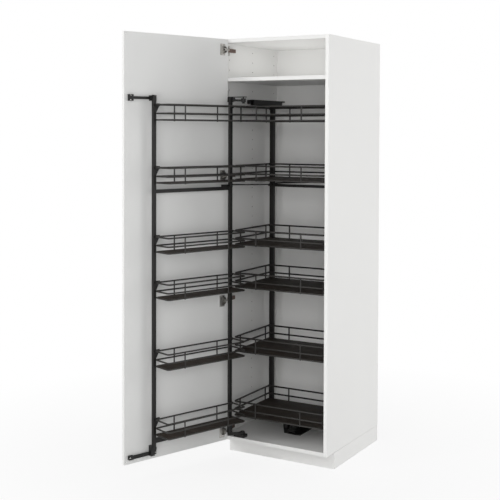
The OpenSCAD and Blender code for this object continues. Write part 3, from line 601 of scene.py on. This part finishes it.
def grown(name, seed_object, graph, values):
    """Runs the graph on seed_object and keeps its result as a plain mesh."""
    modifier = seed_object.modifiers.new(name, "NODES")
    modifier.node_group = graph.tree
    for label, value in values.items():
        modifier[graph.ids[label]] = value
    bpy.context.view_layer.update()
    done = seed_object.evaluated_get(bpy.context.evaluated_depsgraph_get())
    mesh = bpy.data.meshes.new_from_object(done)
    mesh.name = name
    for k in reversed(range(len(mesh.materials))):
        if mesh.materials[k] is None:
            mesh.materials.pop(index=k)
    seed_object.modifiers.remove(modifier)
    bpy.data.objects.remove(seed_object)
    obj = bpy.data.objects.new(name, mesh)
    bpy.context.scene.collection.objects.link(obj)
    if not len(mesh.polygons):
        raise RuntimeError(f"{name} came out empty")
    return obj


GRAPHS = {}


# ---- Places ----


def door_matrix(sizes):
    """From the door's own axes (along it, out of its inner face, up) to the row frame."""
    turn = Matrix.Rotation(-sizes.door_turn, 4, "Z")
    return Matrix.Translation(Vector(sizes.door_edge)) @ turn


def rim_of(node, sizes, kind):
    """Width, depth and placing matrix of a basket's rim, from its CAD node."""
    low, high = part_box(node)
    if kind == "inner":
        wire = sizes.inner_wire
        spot = Matrix.Translation((low.x + wire / 2, low.y + wire / 2, high.z - wire / 2))
        return high.x - low.x - wire, high.y - low.y - wire, spot
    wire = sizes.door_wire
    inverse = door_matrix(sizes).inverted()
    local = [inverse @ v.co for v in NODES[node].data.vertices]
    s = [p.x for p in local]
    n = [p.y for p in local]
    width, depth = max(s) - min(s) - wire, max(n) - min(n) - wire
    corner = Matrix.Translation((max(s) - wire / 2, max(n) - wire / 2, high.z - wire / 2))
    return width, depth, door_matrix(sizes) @ corner @ Matrix.Rotation(math.pi, 4, "Z")


# Shares of the rim's width at its front and its rear, and of its depth at both sides.
UPRIGHTS = {
    "inner": ((0.247, 0.754), (0.247, 0.754), (0.157, 0.893)),
    "door": ((0.208, 0.77), (0.23, 0.792), ()),
}
WELD_SHARE = 0.62
TRAY_INSET = 0.47
TRAY_SEAT = 0.42
TRAY_THICKNESS = 0.0055
TRAY_ROUND = 0.0006
SCREW_SEED = 7
RECESS_SHARE = 0.24
# Radius and height of the screw heads.
RAIL_SCREW = (0.0031, 0.0015)
CUP_SCREW = (0.0039, 0.0017)
PLATE_SCREW = (0.0039, 0.0018)


def basket(index, kind, sizes):
    node = f"{kind}_basket_{index}"
    body = "inner_rack" if kind == "inner" else "door_rack"
    wire = sizes.inner_wire if kind == "inner" else sizes.door_wire
    width, depth, place = rim_of(node, sizes, kind)
    outline = rounded_outline(width, depth, sizes.front_bend, sizes.post_bend)
    fronts, rears, flanks = UPRIGHTS[kind]
    spots = [(width * f, 0) for f in fronts] + [(width * f, depth) for f in rears]
    spots += [(x, depth * f) for f in flanks for x in (0, width)]
    verts = [place @ Vector((x, y, 0)) for x, y in outline + spots]
    count = len(outline)
    seed = mesh_piece(node + "_path", verts, [], [(k, (k + 1) % count) for k in range(count)])
    mark = seed.data.attributes.new("upright", "FLOAT", "POINT")
    mark.data.foreach_set("value", [0.0] * count + [1.0] * len(spots))
    cage = grown(node + "_wires", seed, GRAPHS["basket"], {
        "Wire diameter": wire, "Upright diameter": wire - sizes.upright_step,
        "Middle rail drop": sizes.middle_drop, "Bottom rail drop": sizes.tray_drop,
        "Weld size": wire * WELD_SHARE, "Finish": paint("wire coat")})
    finish_piece(cage, body, node=node, smooth=50.0)
    inset = wire * TRAY_INSET
    plate = [(inset + x * (1 - 2 * inset / width), inset + y * (1 - 2 * inset / depth))
             for x, y in outline]
    high = -sizes.tray_drop + wire * TRAY_SEAT
    tray = prism(node + "_tray", plate, high - TRAY_THICKNESS, high, TRAY_ROUND, place)
    finish_piece(tray, body, paint("tray"))


def islands(node):
    """Vertex groups of a CAD node's separate solids, read from a merged copy of its mesh."""
    work = bmesh.new()
    work.from_mesh(NODES[node].data)
    bmesh.ops.remove_doubles(work, verts=work.verts, dist=MERGE)
    left, found = set(work.verts), []
    while left:
        todo, group = [left.pop()], []
        while todo:
            vert = todo.pop()
            group.append(vert.co.copy())
            for edge in vert.link_edges:
                other = edge.other_vert(vert)
                if other in left:
                    left.discard(other)
                    todo.append(other)
        found.append(group)
    work.free()
    return found


def screw_heads(node, body, facing, head, sizes):
    """Cross-recess heads that stand for a node of plain CAD screws."""
    radius, height = head
    facing = Vector(facing).normalized()
    tops = []
    for group in islands(node):
        reach = max(v.dot(facing) for v in group)
        low = Vector([min(v[k] for v in group) for k in range(3)])
        high = Vector([max(v[k] for v in group) for k in range(3)])
        middle = (low + high) / 2
        tops.append(middle + facing * (reach - height - middle.dot(facing)))
    seed = mesh_piece(node + "_spots", tops, [])
    mark = seed.data.attributes.new("facing", "FLOAT_VECTOR", "POINT")
    mark.data.foreach_set("vector", [c for _ in tops for c in facing])
    heads = grown(node + "_heads", seed, GRAPHS["screws"], {
        "Head radius": radius, "Head height": height, "Recess width": radius * RECESS_SHARE,
        "Sides": sizes.head_sides, "Seed": SCREW_SEED, "Finish": paint("bright steel")})
    finish_piece(heads, body, node=node, smooth=40.0)


# ---- Operators, one for each group of pieces ----


class LARDER_OT_finishes(bpy.types.Operator):
    """Make the materials of the larder unit"""

    bl_idname = "larder.finishes"
    bl_label = "Finishes"

    def execute(self, context):
        sizes, tones = context.scene.larder_sizes, context.scene.larder_colours
        front = ("Y", (0.0,))
        for side in ("left", "right"):
            low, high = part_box(f"side_panel_{side}")
            PAINTS[f"{side} side board"] = board_paint(
                f"{side.capitalize()} side board", tones.board, tones.edging, sizes,
                spans=(front, ("Z", (low.z, high.z))), core=dict(zip("XYZ", zip(low, high))))
        PAINTS["board"] = board_paint("Board", tones.board, tones.edging, sizes, spans=(front,))
        PAINTS["back board"] = board_paint("Back board", tones.board, tones.edging, sizes)
        low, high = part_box("door_panel")
        width = max((door_matrix(sizes).inverted() @ v.co).x
                    for v in NODES["door_panel"].data.vertices)
        PAINTS["door board"] = board_paint(
            "Door board", tones.door, tones.edging, sizes,
            local=(tuple(sizes.door_edge), -sizes.door_turn),
            spans=(("X", (0.0, width)), ("Z", (low.z, high.z))))
        PAINTS["powder coat"] = powder_coat("Anthracite powder coat", tones.anthracite)
        PAINTS["wire coat"] = wire_coat("Metallic wire coat", tones.wire)
        PAINTS["tray"] = tray_board("Grained tray board", tones.tray)
        PAINTS["nickel"] = satin_metal("Satin nickel", tones.nickel)
        PAINTS["hinge arm"] = satin_metal("Hinge arm", tones.hinge_arm)
        PAINTS["bright steel"] = satin_metal("Bright steel", tint(tones.nickel, 1.3),
                                             (1, 1, 3), (0.16, 0.28))
        PAINTS["black plastic"] = moulded("Black moulded plastic", tones.black)
        PAINTS["soft plastic"] = moulded("Soft grey plastic", tones.grey, (0.30, 0.42), 300.0)
        PAINTS["beech"] = turned_beech("Turned beech", tones.beech)
        return {"FINISHED"}


class LARDER_OT_carcass(bpy.types.Operator):
    """Dress the cabinet boards, plinth, feet and dowels"""

    bl_idname = "larder.carcass"
    bl_label = "Cabinet boards"

    def execute(self, context):
        for side in ("left", "right"):
            dress((f"side_panel_{side}",), f"{side} side board")
        dress(("top_panel", "bottom_panel", "fixed_shelf"), "board")
        dress(("back_panel", "plinth_front", "plinth_side"), "back board")
        dress(("cabinet_legs", "leg_feet", "plinth_clips"), "black plastic")
        dress(("panel_dowels",), "beech")
        dress(("wall_brackets",), "nickel")
        return {"FINISHED"}


class LARDER_OT_door(bpy.types.Operator):
    """Dress the door, its guide bars and its buffers"""

    bl_idname = "larder.door"
    bl_label = "Door"

    def execute(self, context):
        dress(("door_panel",), "door board")
        dress(("door_rails",), "powder coat")
        dress(("door_rail_ends",), "black plastic")
        dress(("door_buffers",), "soft plastic")
        sizes = context.scene.larder_sizes
        out = door_matrix(sizes).to_3x3() @ Vector((0, 1, 0))
        screw_heads("door_rail_screws", "door", out, RAIL_SCREW, sizes)
        return {"FINISHED"}


class LARDER_OT_hinges(bpy.types.Operator):
    """Dress the door hinges and their screws"""

    bl_idname = "larder.hinges"
    bl_label = "Hinges"

    def execute(self, context):
        dress(("hinge_plates", "hinge_cups", "hinge_links"), "nickel")
        dress(("hinge_arms",), "hinge arm")
        dress(("hinge_arm_pins", "hinge_cup_pins"), "bright steel")
        sizes = context.scene.larder_sizes
        out = door_matrix(sizes).to_3x3() @ Vector((0, 1, 0))
        screw_heads("hinge_cup_screws", "door", out, CUP_SCREW, sizes)
        screw_heads("hinge_plate_screws", "cabinet", (1, 0, 0), PLATE_SCREW, sizes)
        return {"FINISHED"}


class LARDER_OT_racks(bpy.types.Operator):
    """Dress the posts, crossbars, swing arms, guides and coupling rod"""

    bl_idname = "larder.racks"
    bl_label = "Racks and guides"

    def execute(self, context):
        dress(("floor_bearing", "top_bearing", "floor_guide", "guide_rails", "guide_brackets",
               "swing_arms", "door_frame_posts", "door_frame_crossbars", "rod_pin_lug",
               "inner_frame_posts", "inner_frame_crossbars", "inner_frame_brace",
               "rod_bracket", "coupling_rod"), "powder coat")
        dress(("door_frame_foot", "rail_sliders", "door_basket_clips", "inner_basket_clips",
               "floor_carriage", "guide_heads"), "black plastic")
        return {"FINISHED"}


class LARDER_OT_inner_baskets(bpy.types.Operator):
    """Build the six wire baskets of the inner rack with their trays"""

    bl_idname = "larder.inner_baskets"
    bl_label = "Inner baskets"

    def execute(self, context):
        for index in SHELVES:
            basket(index, "inner", context.scene.larder_sizes)
        return {"FINISHED"}


class LARDER_OT_door_baskets(bpy.types.Operator):
    """Build the six wire baskets of the door rack with their trays"""

    bl_idname = "larder.door_baskets"
    bl_label = "Door baskets"

    def execute(self, context):
        for index in SHELVES:
            basket(index, "door", context.scene.larder_sizes)
        return {"FINISHED"}


# ---- Stage ----

WORLD_LEVEL = 0.53
FLOOR_HALF = 9.0
# Where the floor starts and ends brightening to white, and its glow near the cabinet.
FLOOR_FADE = (0.7, 2.2)
FLOOR_GLOW = 0.86
# Name, place, aim, size and watts.
LAMPS = (
    ("Key lamp", (2.2, -4.2, 2.0), (0.0, 0.0, 1.2), (1.4, 1.4), 46),
    ("Left lamp", (-1.9, -3.1, 2.6), (0.1, 0.1, 1.1), (0.5, 0.5), 22),
    ("Low lamp", (0.6, -4.4, 0.8), (0.0, 0.0, 0.9), (1.4, 1.0), 24),
    ("Side lamp", (4.2, 2.4, 1.6), (0.3, 0.3, 1.0), (2.5, 2.5), 58),
)
# Card light that lies on the fixed shelf and lights the space above it.
CARD_LIFT = 0.004
CARD_SIZE = (0.46, 0.46)
CARD_POWER = 0.34


def seen_rays(tree):
    """1 where a ray comes from the camera or through gloss or glass."""
    rays = tree.nodes.new("ShaderNodeLightPath")
    total = None
    for label in ("Is Camera Ray", "Is Glossy Ray", "Is Transmission Ray"):
        if total is None:
            total = rays.outputs[label]
            continue
        node = tree.nodes.new("ShaderNodeMath")
        node.operation = "MAXIMUM"
        tree.links.new(total, node.inputs[0])
        tree.links.new(rays.outputs[label], node.inputs[1])
        total = node.outputs[0]
    return total


def studio_world(level):
    world = bpy.data.worlds.new("Studio")
    bpy.context.scene.world = world
    world.use_nodes = True
    tree = world.node_tree
    tree.nodes.clear()
    plain = tree.nodes.new("ShaderNodeBackground")
    plain.inputs["Strength"].default_value = level
    white = tree.nodes.new("ShaderNodeBackground")
    white.inputs["Strength"].default_value = 1.0
    for node in (plain, white):
        node.inputs["Color"].default_value = (1, 1, 1, 1)
    mix = tree.nodes.new("ShaderNodeMixShader")
    tree.links.new(seen_rays(tree), mix.inputs[0])
    tree.links.new(plain.outputs[0], mix.inputs[1])
    tree.links.new(white.outputs[0], mix.inputs[2])
    out = tree.nodes.new("ShaderNodeOutputWorld")
    tree.links.new(mix.outputs[0], out.inputs[0])


def studio_floor(tone):
    half = FLOOR_HALF
    corners = [(-half, -half, 0), (half, -half, 0), (half, half, 0), (-half, half, 0)]
    obj = mesh_piece("studio_floor", corners, [(0, 1, 2, 3)])
    r = Recipe("Studio floor")
    fleck = r.noise(40.0, 3.0)
    r.paint(r.mix(r.ramp(fleck, 0.3, 0.7), tint(tone, 0.99), tint(tone, 1.01)))
    r.rough(0.75)
    r.shader.inputs["Specular IOR Level"].default_value = 0.2
    length = r.add("ShaderNodeVectorMath", operation="LENGTH")
    r.join(r.place, length.inputs[0])
    far = r.ramp(length.outputs["Value"], *FLOOR_FADE, FLOOR_GLOW, 1.0)
    glow = r.add("ShaderNodeEmission")
    glow.inputs["Color"].default_value = (1, 1, 1, 1)
    glow.inputs["Strength"].default_value = 1.0
    mix = r.add("ShaderNodeMixShader")
    r.join(r.sum("MULTIPLY", seen_rays(r.tree), far), mix.inputs[0])
    r.join(r.shader.outputs[0], mix.inputs[1])
    r.join(glow.outputs[0], mix.inputs[2])
    out = next(n for n in r.tree.nodes if n.type == "OUTPUT_MATERIAL")
    r.join(mix.outputs[0], out.inputs["Surface"])
    obj.data.materials.append(r.mat)


def soft_lamp(name, spot, aim, size, power):
    data = bpy.data.lights.new(name, "AREA")
    data.shape = "RECTANGLE"
    data.size, data.size_y = size
    data.energy = power
    obj = bpy.data.objects.new(name, data)
    bpy.context.scene.collection.objects.link(obj)
    obj.location = spot
    obj.rotation_euler = (Vector(aim) - Vector(spot)).to_track_quat("-Z", "Y").to_euler()
    return obj


def photo_camera():
    """The camera solved from the cabinet's edges, for a square frame of 500."""
    spot = Vector((2.3335, -4.1073, 1.6189))
    yaw, pitch, roll = (math.radians(a) for a in (28.94, 1.564, 0.232))
    focal, cx, cy, frame_px, sensor = 975.606, 284.05, 158.997, 500.0, 36.0
    ahead = Vector((-math.sin(yaw) * math.cos(pitch), math.cos(yaw) * math.cos(pitch),
                    -math.sin(pitch)))
    right = Vector((math.cos(yaw), math.sin(yaw), 0))
    up = right.cross(ahead)
    right, up = (math.cos(roll) * right + math.sin(roll) * up,
                 -math.sin(roll) * right + math.cos(roll) * up)
    data = bpy.data.cameras.new("Photo camera")
    data.sensor_fit = "HORIZONTAL"
    data.sensor_width = sensor
    data.lens = focal / frame_px * sensor
    data.shift_x = (frame_px / 2 - cx) / frame_px
    data.shift_y = (cy - frame_px / 2) / frame_px
    obj = bpy.data.objects.new("Photo camera", data)
    bpy.context.scene.collection.objects.link(obj)
    turn = Matrix((right, up, -ahead)).transposed().to_4x4()
    obj.matrix_world = Matrix.Translation(spot) @ turn
    bpy.context.scene.camera = obj


class LARDER_OT_stage(bpy.types.Operator):
    """Set up the floor, the lamps, the world and the camera"""

    bl_idname = "larder.stage"
    bl_label = "Studio"

    def execute(self, context):
        context.scene.view_settings.view_transform = "Standard"
        studio_world(WORLD_LEVEL)
        studio_floor(context.scene.larder_colours.ground)
        for lamp in LAMPS:
            soft_lamp(*lamp)
        low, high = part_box("fixed_shelf")
        middle = (low + high) / 2
        card = soft_lamp("Shelf card", (middle.x, middle.y, high.z + CARD_LIFT),
                         (middle.x, middle.y, high.z + 1.0), CARD_SIZE, CARD_POWER)
        card.visible_camera = False
        photo_camera()
        return {"FINISHED"}


class LARDER_PT_sidebar(bpy.types.Panel):
    """Pieces of the larder unit"""

    bl_idname = "LARDER_PT_sidebar"
    bl_label = "Larder unit"
    bl_space_type = "VIEW_3D"
    bl_region_type = "UI"
    bl_category = "Larder"

    def draw(self, context):
        for operator in OPERATORS:
            self.layout.operator(operator.bl_idname)
        for group in (context.scene.larder_sizes, context.scene.larder_colours):
            column = self.layout.column(align=True)
            for key in group.__annotations__:
                column.prop(group, key)


OPERATORS = (LARDER_OT_stage, LARDER_OT_finishes, LARDER_OT_carcass, LARDER_OT_door,
             LARDER_OT_hinges, LARDER_OT_racks, LARDER_OT_inner_baskets,
             LARDER_OT_door_baskets)
CLASSES = (LarderSizes, LarderColours, *OPERATORS, LARDER_PT_sidebar)


def register():
    for cls in CLASSES:
        bpy.utils.register_class(cls)
    bpy.types.Scene.larder_sizes = PointerProperty(type=LarderSizes)
    bpy.types.Scene.larder_colours = PointerProperty(type=LarderColours)


def unregister():
    del bpy.types.Scene.larder_colours
    del bpy.types.Scene.larder_sizes
    for cls in reversed(CLASSES):
        bpy.utils.unregister_class(cls)


def plain(box):
    return [[float(c) for c in corner] for corner in box]


def main():
    register()
    GRAPHS["basket"] = wire_basket_graph()
    GRAPHS["screws"] = screw_graph()
    for operator in OPERATORS:
        group, name = operator.bl_idname.split(".")
        getattr(getattr(bpy.ops, group), name)()


if __name__ == "__main__":
    main()
